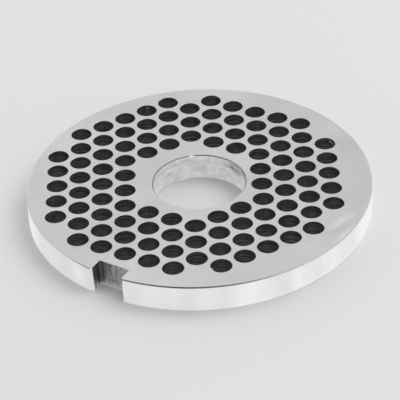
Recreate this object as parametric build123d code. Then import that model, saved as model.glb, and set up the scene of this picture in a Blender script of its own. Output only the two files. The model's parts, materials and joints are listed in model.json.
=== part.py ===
from build123d import *
import os
from math import ceil, cos, hypot, radians, sin, sqrt

# Meat grinder plate: a disc of hardened steel, turned and ground flat on both faces. Meat is
# pressed through its field of drilled holes while a knife turns against the upper face.
#
# Millimetres, +Z up. The origin is on the bore's axis at the lower face. The key slot in the
# rim opens towards -Y.

# Disc
plate_diameter = 82.0
plate_thickness = 6.6
rim_chamfer = 0.25           # broken edge of the rim, on both faces

# Centre bore, which carries the stud of the feed screw
bore_diameter = 22.0
bore_chamfer = 0.2           # broken edge of the bore, on both faces

# Key slot, milled through the rim for the pin that keeps the plate from turning
slot_width = 7.8
slot_depth = 3.9             # from the rim's full diameter to the flat floor of the slot
slot_corner_break = 0.5      # the two upright corners at the mouth of the slot

# Drilled field: holes on equal triangles, about a centre of its own beside the bore's axis
hole_diameter = 5.0
hole_pitch = 6.23
field_shift = 1.7            # the field's centre lies this far from the bore's axis, on -X
field_turn = 2.6             # degrees from the X axis to the nearest row of holes
rim_land = 2.5               # undrilled band inside the rim, measured from the field's centre
least_web = 1.0              # least metal between a hole and the bore, the slot or the rim

plate_radius = plate_diameter / 2
bore_radius = bore_diameter / 2
hole_radius = hole_diameter / 2
slot_floor = plate_radius - slot_depth


def turned_blank():
    """The bored disc, revolved from its half section with all four corners broken."""
    section = Pos(bore_radius, 0) * Rectangle(
        plate_radius - bore_radius, plate_thickness, align=(Align.MIN, Align.MIN)
    )
    section = chamfer(section.vertices().group_by(Axis.X)[-1], rim_chamfer)
    section = chamfer(section.vertices().group_by(Axis.X)[0], bore_chamfer)
    return revolve(Plane.XZ * section, Axis.Z)


def key_slot():
    """Cutter for the slot: parallel sides, a flat floor, and the corners of its mouth flared."""
    mouth = sqrt(plate_radius ** 2 - (slot_width / 2) ** 2)
    beyond = plate_radius + slot_depth
    side = slot_width / 2
    flare = slot_corner_break + beyond - mouth
    outline = Polyline(
        (-side, -slot_floor),
        (side, -slot_floor),
        (side, slot_corner_break - mouth),
        (side + flare, -beyond),
        (-side - flare, -beyond),
        (-side, slot_corner_break - mouth),
        close=True,
    )
    return extrude(make_face(outline), plate_thickness)


def metal_round(x, y):
    """Least metal that a hole centred on (x, y) leaves to the bore, the rim and the slot."""
    to_axis = hypot(x, y)
    to_slot = hypot(max(abs(x) - slot_width / 2, 0), max(y + slot_floor, 0))
    return min(to_axis - bore_radius, plate_radius - to_axis, to_slot) - hole_radius


def hole_centres():
    """Places on the triangular grid that the drill is sent to."""
    grid_reach = ceil(plate_diameter / hole_pitch)
    steps = range(-grid_reach, grid_reach + 1)
    turn = radians(field_turn)
    centres = []
    for row in steps:
        for place in steps:
            along = (place + row / 2) * hole_pitch
            across = row * hole_pitch * sqrt(3) / 2
            x = along * cos(turn) - across * sin(turn) - field_shift
            y = along * sin(turn) + across * cos(turn)
            in_field = hypot(along, across) + hole_radius <= plate_radius - rim_land
            if in_field and metal_round(x, y) >= least_web:
                centres.append((x, y))
    return centres


def drilled_plate():
    """The finished plate: blank, slot, then every hole drilled straight through."""
    drills = Sketch() + [Pos(x, y) * Circle(hole_radius) for x, y in hole_centres()]
    return turned_blank() - key_slot() - extrude(drills, plate_thickness)


os.makedirs("parts", exist_ok=True)
export_step(drilled_plate(), "parts/grinder_plate.step")
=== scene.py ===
import json
import math

import bmesh
import bpy
from mathutils import Matrix, Quaternion, Vector


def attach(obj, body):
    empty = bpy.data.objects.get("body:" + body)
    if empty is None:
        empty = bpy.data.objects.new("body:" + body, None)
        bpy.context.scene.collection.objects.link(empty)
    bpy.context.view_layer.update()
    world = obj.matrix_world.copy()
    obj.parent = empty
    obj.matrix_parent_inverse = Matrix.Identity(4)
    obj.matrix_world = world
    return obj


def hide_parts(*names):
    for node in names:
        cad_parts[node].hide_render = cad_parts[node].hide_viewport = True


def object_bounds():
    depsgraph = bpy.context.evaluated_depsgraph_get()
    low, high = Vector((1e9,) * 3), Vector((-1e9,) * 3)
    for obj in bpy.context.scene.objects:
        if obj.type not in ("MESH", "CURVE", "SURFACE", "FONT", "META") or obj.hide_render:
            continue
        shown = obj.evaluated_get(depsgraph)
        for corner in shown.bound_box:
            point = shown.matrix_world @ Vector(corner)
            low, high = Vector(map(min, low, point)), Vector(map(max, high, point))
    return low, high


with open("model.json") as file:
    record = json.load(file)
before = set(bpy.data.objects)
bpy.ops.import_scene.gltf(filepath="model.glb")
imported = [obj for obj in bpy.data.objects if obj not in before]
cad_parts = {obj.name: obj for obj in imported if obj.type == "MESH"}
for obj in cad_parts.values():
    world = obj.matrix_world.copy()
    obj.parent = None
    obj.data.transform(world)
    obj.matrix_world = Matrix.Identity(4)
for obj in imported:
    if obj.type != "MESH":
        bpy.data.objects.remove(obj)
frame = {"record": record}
cad_low, cad_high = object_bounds()

# ---------------------------------------------------------------------------------------------
# Camera. A long lens looks down on the plate lying on its lower face, from the front and a
# little to the right of the key slot. The camera leans slightly, so the plate looks askew.
# ---------------------------------------------------------------------------------------------
sensor_width = 36                        # mm, as the lens is
view_lens = 177.3
near_limit = 0.01                        # anything nearer to the lens isn't drawn
view_turn = math.radians(32.5)           # from -Y towards +X
view_height = math.radians(35.4)
view_lean = math.radians(-2.77)
view_distance = 0.4612
view_target = Vector((0.0041, -0.0065, cad_high[2]))

toward_camera = Vector((
    math.cos(view_height) * math.sin(view_turn),
    -math.cos(view_height) * math.cos(view_turn),
    math.sin(view_height),
))
camera = bpy.data.objects.new("camera", bpy.data.cameras.new("camera"))
bpy.context.scene.collection.objects.link(camera)
camera.data.sensor_width = sensor_width
camera.data.lens = view_lens
camera.data.clip_start = near_limit
camera.location = view_target + toward_camera * view_distance
lean = Quaternion((0, 0, 1), view_lean)
camera.rotation_euler = ((-toward_camera).to_track_quat("-Z", "Y") @ lean).to_euler()
bpy.context.scene.camera = camera
bpy.context.scene.view_settings.view_transform = "Standard"

# ---------------------------------------------------------------------------------------------
# Studio. A pale dull table in a white room, with one broad soft lamp high up behind the plate
# and to the right. The room is a little dimmer high up on the slot's side, so that the plate's
# front edge mirrors less light.
# ---------------------------------------------------------------------------------------------
table_drop = 0.00002                     # keeps the table just clear of the lower face
table_size = 1.5
table_colour = (0.86, 0.86, 0.86, 1)
table_rough = 0.9
table_glow = 0.98                        # how white the table is that polished steel mirrors
glow_share = 0.85                        # the rest of what it mirrors is the lit table itself
wall_light = 1.0
shade_light = 0.6                        # in the middle of the dimmer part
shade_way = (0, -0.62, 0.785)            # towards that middle
shade_from = 0.55                        # cosines of the angle from it
shade_full = 0.95
lamp_size = 0.9
lamp_power = 3
lamp_place = Vector((0.35, 0.45, 0.95))


def new_material(name):
    """An empty node material, its tree and its output node."""
    material = bpy.data.materials.new(name)
    material.use_nodes = True
    tree = material.node_tree
    tree.nodes.clear()
    return material, tree, tree.nodes.new("ShaderNodeOutputMaterial")


def fill(tree, node, inputs):
    """Gives each named input of the node a number, or joins it to another node's output."""
    for name, value in inputs.items():
        if isinstance(value, bpy.types.NodeSocket):
            tree.links.new(value, node.inputs[name])
        else:
            node.inputs[name].default_value = value


def reckon(tree, operation, *values):
    """What the operation makes of the values: each is a number or another node's output."""
    node = tree.nodes.new("ShaderNodeMath")
    node.operation = operation
    fill(tree, node, dict(enumerate(values)))
    return node.outputs["Value"]


def far_along(tree, place, way):
    """How far the place lies along the way."""
    node = tree.nodes.new("ShaderNodeVectorMath")
    node.operation = "DOT_PRODUCT"
    fill(tree, node, {0: place, 1: way})
    return node.outputs["Value"]


table_paint, tree, output = new_material("pale_table")
paint = tree.nodes.new("ShaderNodeBsdfPrincipled")
fill(tree, paint, {"Base Color": table_colour, "Roughness": table_rough})
glow = tree.nodes.new("ShaderNodeEmission")
fill(tree, glow, {"Strength": table_glow})
rays = tree.nodes.new("ShaderNodeLightPath").outputs
mirrored = reckon(tree, "MAXIMUM", rays["Is Glossy Ray"], rays["Is Transmission Ray"])
both = tree.nodes.new("ShaderNodeMixShader")
fill(tree, both, {
    "Fac": reckon(tree, "MULTIPLY", mirrored, glow_share),
    1: paint.outputs["BSDF"],
    2: glow.outputs["Emission"],
})
fill(tree, output, {"Surface": both.outputs["Shader"]})

table_mesh = bmesh.new()
bmesh.ops.create_grid(
    table_mesh, x_segments=1, y_segments=1, size=table_size,
    matrix=Matrix.Translation((0, 0, cad_low[2] - table_drop)),
)
table_data = bpy.data.meshes.new("table")
table_mesh.to_mesh(table_data)
table_mesh.free()
table_data.materials.append(table_paint)
table = bpy.data.objects.new("table", table_data)
bpy.context.scene.collection.objects.link(table)

studio = bpy.data.worlds.new("studio")
bpy.context.scene.world = studio
studio.use_nodes = True
tree = studio.node_tree
tree.nodes.clear()
direction = tree.nodes.new("ShaderNodeTexCoord").outputs["Generated"]
walls = tree.nodes.new("ShaderNodeMapRange")
walls.interpolation_type = "SMOOTHSTEP"
fill(tree, walls, {
    "Value": far_along(tree, direction, shade_way),
    "From Min": shade_from,
    "From Max": shade_full,
    "To Min": wall_light,
    "To Max": shade_light,
})
sky = tree.nodes.new("ShaderNodeBackground")
fill(tree, sky, {"Strength": walls.outputs["Result"]})
output = tree.nodes.new("ShaderNodeOutputWorld")
fill(tree, output, {"Surface": sky.outputs["Background"]})

lamp = bpy.data.objects.new("soft_lamp", bpy.data.lights.new("soft_lamp", "AREA"))
bpy.context.scene.collection.objects.link(lamp)
lamp.data.shape = "DISK"
lamp.data.size = lamp_size
lamp.data.energy = lamp_power
lamp.location = lamp_place
lamp.rotation_euler = (-lamp_place).to_track_quat("-Z", "Y").to_euler()

# ---------------------------------------------------------------------------------------------
# The plate. One disc of hardened tool steel: turned, bored, slotted, drilled right through and
# then ground flat on both faces, which leaves the mouths of the holes sharp.
# ---------------------------------------------------------------------------------------------
mounts = {mount["name"]: mount for mount in frame["record"]["mounts"]}
plate_radius = mounts["rim"]["dims"]["r_mm"] / 1000
bore_radius = mounts["centre_bore"]["dims"]["r_mm"] / 1000
plate_thickness = cad_high[2]
slot_side = 0.0039                       # from the slot's middle to either side of it
slot_depth = 0.0039
slot_floor = plate_radius - slot_depth
corner_break = 0.0005                    # on the two corners of the slot's mouth
rim_break = 0.00025
bore_break = 0.0002
mouth_break = 0.00006                    # hair-fine edge round the drilled holes and the slot
hole_radius = 0.0025
hole_pitch = 0.00623
row_pitch = hole_pitch * math.sqrt(3) / 2
field_shift = 0.0017                     # of the drilled field's middle, towards -X
field_turn = math.radians(2.6)
rim_land = 0.0025                        # left undrilled inside the rim
least_web = 0.001                        # left between the bore and a drilled hole
inner = bore_radius + 2 * bore_break     # every drilled hole lies between these two
outer = plate_radius - 2 * rim_break
rim_steps = 300
bore_steps = 144
hole_steps = 40
tiny = 0.00001
level_from = 0.99                        # a ground face's normal has more of Z than this
upright_to = 0.2                         # and a wall's has less than this
sharp_from = math.radians(25)
burr_spot = (0.02012, -0.02807, plate_thickness)
burr_reach = 0.0008
burr_way = (0.00016, 0.0003, 0)          # into the hole
foot_reach = 0.0006
foot_filed = 0.0004                      # how much wider the slot's corners are filed at the foot
dent_spot = (-0.00728, 0.00852, plate_thickness)
dent_reach = 0.001
dent_way = (-0.00011, 0.00013, 0)        # away from the axis


def hole_centres():
    """Where the drill goes: a triangular grid inside the rim's land and clear of the bore."""
    centres = []
    reach = 2 * math.ceil(plate_radius / hole_pitch)
    for row in range(-reach, reach + 1):
        for column in range(-reach, reach + 1):
            along = (column + row / 2) * hole_pitch
            across = row * row_pitch
            x = along * math.cos(field_turn) - across * math.sin(field_turn) - field_shift
            y = along * math.sin(field_turn) + across * math.cos(field_turn)
            in_field = math.hypot(along, across) + hole_radius <= plate_radius - rim_land
            if in_field and math.hypot(x, y) - bore_radius - hole_radius >= least_web:
                centres.append((x, y))
    return centres


def across_axis(point):
    """How far a point is from the bore's axis."""
    return math.hypot(point[0], point[1])


form = bmesh.new()

# the rim's round is one vertex swung about the axis, from one corner of the slot to the other
mouth_side = slot_side + corner_break
mouth_turn = math.asin(mouth_side / plate_radius)
first_y = -plate_radius * math.cos(mouth_turn)
first = form.verts.new((mouth_side, first_y, 0))
swung = bmesh.ops.spin(
    form, geom=[first], cent=(0, 0, 0), axis=(0, 0, 1),
    angle=2 * math.pi - 2 * mouth_turn, steps=rim_steps, use_merge=False,
)
last = [part for part in swung["geom_last"] if isinstance(part, bmesh.types.BMVert)][0]
mouth = corner_break - math.sqrt(plate_radius ** 2 - slot_side ** 2)
slot_corners = [
    (-slot_side, mouth), (-slot_side, -slot_floor), (slot_side, -slot_floor), (slot_side, mouth),
]
outline = [last] + [form.verts.new((x, y, 0)) for x, y in slot_corners] + [first]
for start, end in zip(outline, outline[1:]):
    form.edges.new((start, end))

bmesh.ops.create_circle(form, segments=bore_steps, radius=bore_radius)
for x, y in hole_centres():
    bmesh.ops.create_circle(
        form, segments=hole_steps, radius=hole_radius, matrix=Matrix.Translation((x, y, 0)),
    )
bmesh.ops.triangle_fill(
    form, use_beauty=True, use_dissolve=False, edges=form.edges, normal=(0, 0, 1),
)
raised = bmesh.ops.extrude_face_region(form, geom=form.faces[:])
bmesh.ops.translate(
    form, vec=(0, 0, plate_thickness),
    verts=[part for part in raised["geom"] if isinstance(part, bmesh.types.BMVert)],
)
bmesh.ops.recalc_face_normals(form, faces=form.faces)


def break_edges(belongs, width):
    """Bevels the level edges between a ground face and a wall that belongs(edge) picks."""
    form.normal_update()
    edges = []
    for edge in form.edges:
        level = abs(edge.verts[0].co.z - edge.verts[1].co.z) < tiny
        on_face = [abs(face.normal.z) > level_from for face in edge.link_faces]
        if level and on_face.count(True) == 1 and belongs(edge):
            edges.append(edge)
    bmesh.ops.bevel(
        form, geom=edges, offset=width, offset_type="OFFSET", segments=1,
        profile=0.5, affect="EDGES", material=-1, clamp_overlap=True,
    )


def on_round(edge, radius):
    """True if both ends of the edge lie on the circle of that radius about the axis."""
    return all(abs(across_axis(vert.co) - radius) < tiny for vert in edge.verts)


break_edges(lambda edge: on_round(edge, plate_radius), rim_break)
break_edges(lambda edge: on_round(edge, bore_radius), bore_break)
break_edges(lambda edge: inner < across_axis(edge.verts[0].co) < outer, mouth_break)


def push(spot, reach, way):
    """Moves the vertices near the spot by up to way, fading to nothing at reach."""
    for vert in form.verts:
        gap = (vert.co - Vector(spot)).length
        if gap < reach:
            vert.co += Vector(way) * (1 - gap / reach)


push(burr_spot, burr_reach, burr_way)
push(dent_spot, dent_reach, dent_way)
for side in (-1, 1):
    push((side * mouth_side, first_y, 0), foot_reach, (side * foot_filed, 0, 0))
    push((side * slot_side, mouth, 0), foot_reach, (0, foot_filed, 0))

for edge in form.edges:
    edge.smooth = edge.calc_face_angle(0) < sharp_from
for face in form.faces:
    face.smooth = abs(face.normal.z) < level_from
plate_data = bpy.data.meshes.new("plate")
form.to_mesh(plate_data)
form.free()
plate = bpy.data.objects.new("plate", plate_data)
bpy.context.scene.collection.objects.link(plate)
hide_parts("grinder_plate")
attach(plate, "root")

# ---------------------------------------------------------------------------------------------
# Ground faces. Both carry the marks of a surface grinder's cup wheel: long shallow arcs, finer
# than a hair, over soft clouds. A painted light gradient makes them brighter towards -X and -Y.
# The upper face has four rubbed streaks as well.
# ---------------------------------------------------------------------------------------------
ground_greys = (0.64, 0.735)
ground_rough = (0.2, 0.3)
noise_span = (0.3, 0.7)                  # nearly all of a pattern's values lie in here
arcs_to_metre = 2400
arc_depth = 0.000001
wheel_centre = (0.05, 0.21, 0)
clouds_to_metre = 70
cloud_share = 0.85                       # the arcs have the rest
painted_shade_side = (0.18, 0.11, 0)              # painted light: the faces are painted brighter the farther they are from here
painted_light_gain = 0.033
mark_core = 0.2                          # the part of an oval mark that has its full strength
streak_sink = 0.001                      # keeps the streaks off the lower face
streaks_at = (                           # middle, degrees of turn, half length and width, grey
    ((0.0371, 0.0012), 76, (0.0056, 0.0018), 0.79),
    ((0.0383, -0.0008), 80, (0.0056, 0.001), 0.65),
    ((0.0401, -0.003), 83, (0.0052, 0.001), 0.79),
    ((0.0373, 0.0102), 82, (0.0032, 0.001), 0.64),
)


def new_steel(name, metal=1.0):
    """A bare steel material, its tree, its shader and the plate's own coordinates."""
    material, tree, output = new_material(name)
    shader = tree.nodes.new("ShaderNodeBsdfPrincipled")
    fill(tree, shader, {"Metallic": metal})
    fill(tree, output, {"Surface": shader.outputs["BSDF"]})
    return material, tree, shader, tree.nodes.new("ShaderNodeTexCoord").outputs["Object"]


def lines_along(tree, value, scale):
    """Uneven fine lines across the direction in which value grows, from 0 to 1."""
    lines = tree.nodes.new("ShaderNodeTexNoise")
    lines.noise_dimensions = "1D"
    fill(tree, lines, {"W": value, "Scale": scale, "Detail": 2})
    return lines.outputs["Fac"]


def clouds(tree, place, scale, stretch=(1, 1, 1), detail=3):
    """Soft patches, drawn out along the axes where stretch is small, from 0 to 1."""
    drawn = tree.nodes.new("ShaderNodeMapping")
    fill(tree, drawn, {"Vector": place, "Scale": stretch})
    patches = tree.nodes.new("ShaderNodeTexNoise")
    fill(tree, patches, {"Vector": drawn.outputs["Vector"], "Scale": scale, "Detail": detail})
    return patches.outputs["Fac"]


def spread(tree, value, span, ends):
    """Turns a value within the span into a number from the first of the ends to the second."""
    between = tree.nodes.new("ShaderNodeMapRange")
    fill(tree, between, {
        "Value": value,
        "From Min": span[0],
        "From Max": span[1],
        "To Min": ends[0],
        "To Max": ends[1],
    })
    return between.outputs["Result"]


def mix(tree, first, second, share):
    """share of second and the rest of first; each is a number or another node's output."""
    blend = tree.nodes.new("ShaderNodeMix")
    fill(tree, blend, {"A": first, "B": second, "Factor": share})
    return blend.outputs["Result"]


def away_from(tree, place, centre):
    """How far the place is from the centre."""
    gap = tree.nodes.new("ShaderNodeVectorMath")
    gap.operation = "DISTANCE"
    fill(tree, gap, {0: place, 1: centre})
    return gap.outputs["Value"]


def oval_mark(tree, place, centre, turn, half_sizes):
    """A soft oval, turned by turn degrees: 1 in its core and 0 from its edge on."""
    drawn = tree.nodes.new("ShaderNodeMapping")
    drawn.vector_type = "TEXTURE"
    fill(tree, drawn, {
        "Vector": place,
        "Location": centre,
        "Rotation": (0, 0, math.radians(turn)),
        "Scale": half_sizes,
    })
    reach = away_from(tree, drawn.outputs["Vector"], (0, 0, 0))
    return spread(tree, reach, (mark_core, 1), (1, 0))


def bumps(tree, shader, height, depth):
    """Gives the shader a relief that is depth deep where height goes from 0 to 1."""
    relief = tree.nodes.new("ShaderNodeBump")
    fill(tree, relief, {"Strength": 1, "Distance": depth, "Height": height})
    fill(tree, shader, {"Normal": relief.outputs["Normal"]})


def finish_where(material, belongs):
    """Gives the material to each face of the plate that belongs(centre, normal) picks."""
    plate_data.materials.append(material)
    for face in plate_data.polygons:
        if belongs(face.center, face.normal):
            face.material_index = len(plate_data.materials) - 1


ground, tree, shader, place = new_steel("ground_finish")
arcs = lines_along(tree, away_from(tree, place, wheel_centre), arcs_to_metre)
patches = clouds(tree, place, clouds_to_metre, detail=2)
grey = spread(tree, mix(tree, arcs, patches, cloud_share), noise_span, ground_greys)
middle = Vector(painted_shade_side).length
over_plate = (middle - plate_radius, middle + plate_radius)
# painted light: a gradient that makes the faces brighter towards -X and -Y
painted_light = spread(tree, away_from(tree, place, painted_shade_side), over_plate, (-painted_light_gain, painted_light_gain))
grey = reckon(tree, "ADD", grey, painted_light)
for (x, y), turn, (length, width), streak_grey in streaks_at:
    half_sizes = (length, width, streak_sink)
    streak = oval_mark(tree, place, (x, y, plate_thickness), turn, half_sizes)
    grey = mix(tree, grey, streak_grey, streak)
roughness = spread(tree, patches, noise_span, ground_rough)
fill(tree, shader, {"Base Color": grey, "Roughness": roughness})
bumps(tree, shader, arcs, arc_depth)
finish_where(ground, lambda centre, normal: True)

# ---------------------------------------------------------------------------------------------
# Rim. Fine-turned to the head's size, brighter than the faces, with upright patches where it
# has been handled. Painted shade makes it darker in front beside the slot, and painted
# highlights make it white at the slot's filed corners and at two more places.
# ---------------------------------------------------------------------------------------------
turned_greys = (0.78, 0.97)
turned_rough = (0.22, 0.3)
feed_to_metre = 1600                     # lines that the tool's feed leaves
feed_depth = 0.000001
handled_to_metre = 130
handled_stretch = (1, 1, 0.3)
handled_share = 0.85
# painted shade in front beside the slot (first row), then painted highlights (the rest)
rim_shade_and_highlights_at = (                             # degrees round from +X, reach, strength, grey
    (-97, 0.03, 0.8, 0.74),
    (-134, 0.0095, 1, 1),
    (19, 0.013, 0.9, 1),
    (-101, 0.0028, 0.6, 1),
    (-85, 0.0028, 0.5, 1),
)
slack = 0.1                              # how far off a wall's normal may point


def part_of(tree, place, axis):
    """One coordinate of the place."""
    parts = tree.nodes.new("ShaderNodeSeparateXYZ")
    fill(tree, parts, {"Vector": place})
    return parts.outputs[axis]


def on_circle(radius, turn, height):
    """The point at that radius and height that is turn degrees round from +X."""
    angle = math.radians(turn)
    return radius * math.cos(angle), radius * math.sin(angle), height


def round_mark(tree, place, centre, reach, strength=1):
    """A soft round mark: strength in its middle and 0 from reach on."""
    return spread(tree, away_from(tree, place, centre), (0, reach), (strength, 0))


turned, tree, shader, place = new_steel("turned_finish")
feed = lines_along(tree, part_of(tree, place, "Z"), feed_to_metre)
patches = clouds(tree, place, handled_to_metre, handled_stretch)
grey = spread(tree, mix(tree, feed, patches, handled_share), noise_span, turned_greys)
# paints the rim's shade and highlights
for turn, reach, strength, painted_grey in rim_shade_and_highlights_at:
    centre = on_circle(plate_radius, turn, plate_thickness / 2)
    grey = mix(tree, grey, painted_grey, round_mark(tree, place, centre, reach, strength))
roughness = spread(tree, patches, noise_span, turned_rough)
fill(tree, shader, {"Base Color": grey, "Roughness": roughness})
bumps(tree, shader, feed, feed_depth)


def is_turned(centre, normal):
    """True on the rim with its broken edges, and on the filed corners of the slot."""
    on_rim = abs(normal.z) < level_from and across_axis(centre) > outer
    askew = abs(abs(normal.x) - abs(normal.y)) < slack and abs(normal.z) < upright_to
    return on_rim or askew and abs(centre.x) < mouth_side and centre.y < -slot_floor


finish_where(turned, is_turned)

# ---------------------------------------------------------------------------------------------
# Drilled holes. Nothing follows the drill and the hardening, so the walls keep the drill's
# rings, which differ from hole to hole, under a dull dark scale. The walls are darker still
# towards the upper mouth. Two of the holes have bright nicks there.
# ---------------------------------------------------------------------------------------------
scale_dark = 0.012
scale_light = 0.275
scale_span = (0.36, 0.66)
scale_metal = 0.35                       # the scale hides most of the metal's shine
scale_rough = 0.5
mouth_depth = 0.0022                     # the walls are darker down to here from the upper face
mouth_darkening = 0.6
rings_to_metre = 2100
ring_depth = 0.0001
ring_shift = 0.5                         # lets each hole have rings of its own
ring_middle = 0.5                        # what a ring fades to
ring_fade = (0.2, 0.8)                   # how far they fade, from hole to hole
stains_to_metre = 600
stain_share = 0.25
nicks_at = ((-0.0286, 0.0224, 0.0058), (0.019, 0.0303, 0.0057), (0.0198, 0.0301, 0.0055))
nick_reach = 0.0005
nick_light = 1.0


def hole_lot(tree, place):
    """A number from 0 to 1 that is the same all through one hole of the grid."""
    grid = tree.nodes.new("ShaderNodeMapping")
    grid.vector_type = "TEXTURE"
    fill(tree, grid, {
        "Vector": place,
        "Location": (-field_shift, 0, 0),
        "Rotation": (0, 0, field_turn),
        "Scale": (hole_pitch, row_pitch, 1),
    })
    # each row starts half a pitch further along than the one before it
    column = far_along(tree, grid.outputs["Vector"], (1, -1 / 2, 0))
    row = far_along(tree, grid.outputs["Vector"], (0, 1, 0))
    pair = tree.nodes.new("ShaderNodeCombineXYZ")
    fill(tree, pair, {"X": reckon(tree, "ROUND", column), "Y": reckon(tree, "ROUND", row)})
    lot = tree.nodes.new("ShaderNodeTexWhiteNoise")
    lot.noise_dimensions = "2D"
    fill(tree, lot, {"Vector": pair.outputs["Vector"]})
    return lot.outputs["Value"]


drilled, tree, shader, place = new_steel("drilled_finish", scale_metal)
height = part_of(tree, place, "Z")
lot = hole_lot(tree, place)
rings = lines_along(tree, reckon(tree, "MULTIPLY_ADD", lot, ring_shift, height), rings_to_metre)
rings = mix(tree, rings, ring_middle, spread(tree, lot, (0, 1), ring_fade))
stains = clouds(tree, place, stains_to_metre, detail=2)
worn = mix(tree, rings, stains, stain_share)
grey = spread(tree, worn, scale_span, (scale_dark, scale_light))
mouth_span = (plate_thickness - mouth_depth, plate_thickness)
grey = mix(tree, grey, scale_dark, spread(tree, height, mouth_span, (0, mouth_darkening)))
for spot in nicks_at:
    grey = mix(tree, grey, nick_light, round_mark(tree, place, spot, nick_reach))
fill(tree, shader, {"Base Color": grey, "Roughness": scale_rough})
bumps(tree, shader, rings, ring_depth)


def is_drilled(centre, normal):
    """True on the upright walls between bore and rim. The slot's get their own finish later."""
    return abs(normal.z) < upright_to and inner < across_axis(centre) < outer


finish_where(drilled, is_drilled)

# ---------------------------------------------------------------------------------------------
# Bore. Bored and then polished by the stud that turns in it: bright, with rings and smudges,
# a dark scuff, a band of painted shade below the upper edge, two spots rubbed brighter near
# the foot, and a dent in the upper edge.
# ---------------------------------------------------------------------------------------------
bored_greys = (0.48, 0.73)
bored_rough = 0.28
bored_depth = 0.00001
tool_rings_to_metre = 1100
smudges_to_metre = 480
smudge_stretch = (1, 1, 1.8)
smudge_share = 0.7
# a dark scuff, then a band of painted shade below the upper edge
scuffs_and_shade_at = (                            # centre, degrees of turn, half sizes
    ((0.0038, 0.0104, 0.005), -12, (0.0044, 0.0024, 0.0019)),
    ((0.0086, 0.0072, 0.0063), 130, (0.007, 0.0026, 0.0013)),
)
scuff_and_shade_grey = 0.2
scuff_and_shade_span = (0.4, 0.65)                 # the scuff and the painted shade are thinner where a smudge is pale
scuff_and_shade_ends = (1, 0.3)
bruise_light = 1.0                       # the dent's bright middle
polish_light = 0.95
polish_at = (-150, 29)                   # degrees round from +X
polish_height = 0.0016
polish_reach = 0.0042

bored, tree, shader, place = new_steel("bored_finish")
rings = lines_along(tree, part_of(tree, place, "Z"), tool_rings_to_metre)
smudges = clouds(tree, place, smudges_to_metre, smudge_stretch, detail=4)
worn = mix(tree, rings, smudges, smudge_share)
grey = spread(tree, worn, noise_span, bored_greys)
grey = mix(tree, grey, bruise_light, round_mark(tree, place, dent_spot, dent_reach))
thinned = spread(tree, smudges, scuff_and_shade_span, scuff_and_shade_ends)
# darkens the wall with the scuff and the painted shade
for centre, turn, half_sizes in scuffs_and_shade_at:
    scuff_and_shade = oval_mark(tree, place, centre, turn, half_sizes)
    grey = mix(tree, grey, scuff_and_shade_grey, reckon(tree, "MULTIPLY", scuff_and_shade, thinned))
for turn in polish_at:
    centre = on_circle(bore_radius, turn, polish_height)
    grey = mix(tree, grey, polish_light, round_mark(tree, place, centre, polish_reach))
fill(tree, shader, {"Base Color": grey, "Roughness": bored_rough})
bumps(tree, shader, worn, bored_depth)


def is_bored(centre, normal):
    """True on the bore's wall with its broken edges."""
    return abs(normal.z) < level_from and across_axis(centre) < inner


finish_where(bored, is_bored)

# ---------------------------------------------------------------------------------------------
# Broken edges. The upper corners of the rim and of the bore are filed off at 45 degrees. The
# bore's is painted dark all round, and the rim's only in front, as a painted dark reflection.
# The bore's scuff, its painted shade and the bright middle of its dent run over them.
# ---------------------------------------------------------------------------------------------
# painted dark reflection on the bore's broken edge all round, and on the rim's in front
bore_edge_shade_grey = 0.27
rim_edge_grey = 0.69
front_shade_grey = 0.16
front_shade_turn = -65                          # degrees round from +X to the middle of the rim's painted dark reflection
front_shade_reach = 0.029
filed_rough = 0.12
dent_rough = 0.8

filed, tree, shader, place = new_steel("filed_finish")
# painted dark reflection along the rim's broken edge in front
front_shade_spot = on_circle(plate_radius, front_shade_turn, plate_thickness)
painted_front_shade = round_mark(tree, place, front_shade_spot, front_shade_reach)
from_axis = away_from(tree, place, (0, 0, plate_thickness))
at_rim = spread(tree, from_axis, (inner, outer), (0, 1))
grey = mix(tree, bore_edge_shade_grey, mix(tree, rim_edge_grey, front_shade_grey, painted_front_shade), at_rim)
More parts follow.
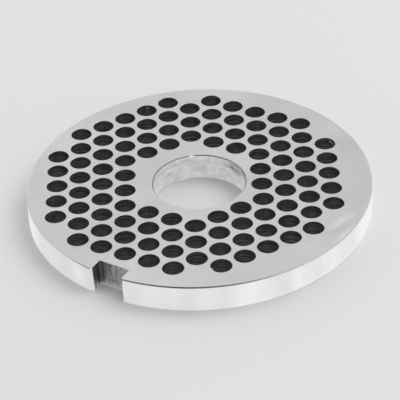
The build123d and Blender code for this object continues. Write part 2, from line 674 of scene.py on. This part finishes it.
# the scuff and the painted shade run over the bore's broken edge too
for centre, turn, half_sizes in scuffs_and_shade_at:
    grey = mix(tree, grey, scuff_and_shade_grey, oval_mark(tree, place, centre, turn, half_sizes))
dented = round_mark(tree, place, dent_spot, dent_reach)
fill(tree, shader, {
    "Base Color": mix(tree, grey, bruise_light, dented),
    "Roughness": mix(tree, filed_rough, dent_rough, dented),
})


def is_broken(centre, normal):
    """True on the upper sloping edges of the rim and of the bore."""
    at_wall = across_axis(centre) > outer or across_axis(centre) < inner
    return upright_to < normal.z < level_from and at_wall


finish_where(filed, is_broken)

# ---------------------------------------------------------------------------------------------
# Key slot. Milled with the flank of the cutter, which leaves upright streaks. Painted shade
# makes the corner at -X darkest; it is rougher towards +X, and painted light makes it paler
# there and down by the table.
# ---------------------------------------------------------------------------------------------
milled_greys = (0.08, 0.42)
milled_span = (0.34, 0.72)
milled_rough = 0.42
milled_depth = 0.00002
flank_lines_to_metre = 1400
flank_stretch = (1, 1, 0.08)
specks_to_metre = 1500
speck_share = (0.2, 0.7)                 # from the side at -X to the side at +X
painted_side_light = (-0.05, 0.12)                # painted shade at -X, to painted light at +X
painted_foot_light = 0.22                         # painted light at the foot, by the table
foot_height = 0.0018

milled, tree, shader, place = new_steel("milled_finish")
flank_lines = clouds(tree, place, flank_lines_to_metre, flank_stretch)
specks = clouds(tree, place, specks_to_metre, detail=2)
sideways = part_of(tree, place, "X")
slot_span = (-slot_side, slot_side)
worn = mix(tree, flank_lines, specks, spread(tree, sideways, slot_span, speck_share))
# painted shade towards -X and painted light towards +X
worn = reckon(tree, "ADD", worn, spread(tree, sideways, slot_span, painted_side_light))
# painted light at the foot
foot_light = spread(tree, part_of(tree, place, "Z"), (0, foot_height), (painted_foot_light, 0))
worn = reckon(tree, "ADD", worn, foot_light)
grey = spread(tree, worn, milled_span, milled_greys)
fill(tree, shader, {"Base Color": grey, "Roughness": milled_rough})
bumps(tree, shader, flank_lines, milled_depth)


def in_slot(centre, normal):
    """True on the slot's floor and its two parallel sides."""
    square = min(abs(normal.x), abs(normal.y)) < slack and abs(normal.z) < upright_to
    return square and abs(centre.x) < slot_side + tiny and centre.y < tiny - slot_floor


finish_where(milled, in_slot)
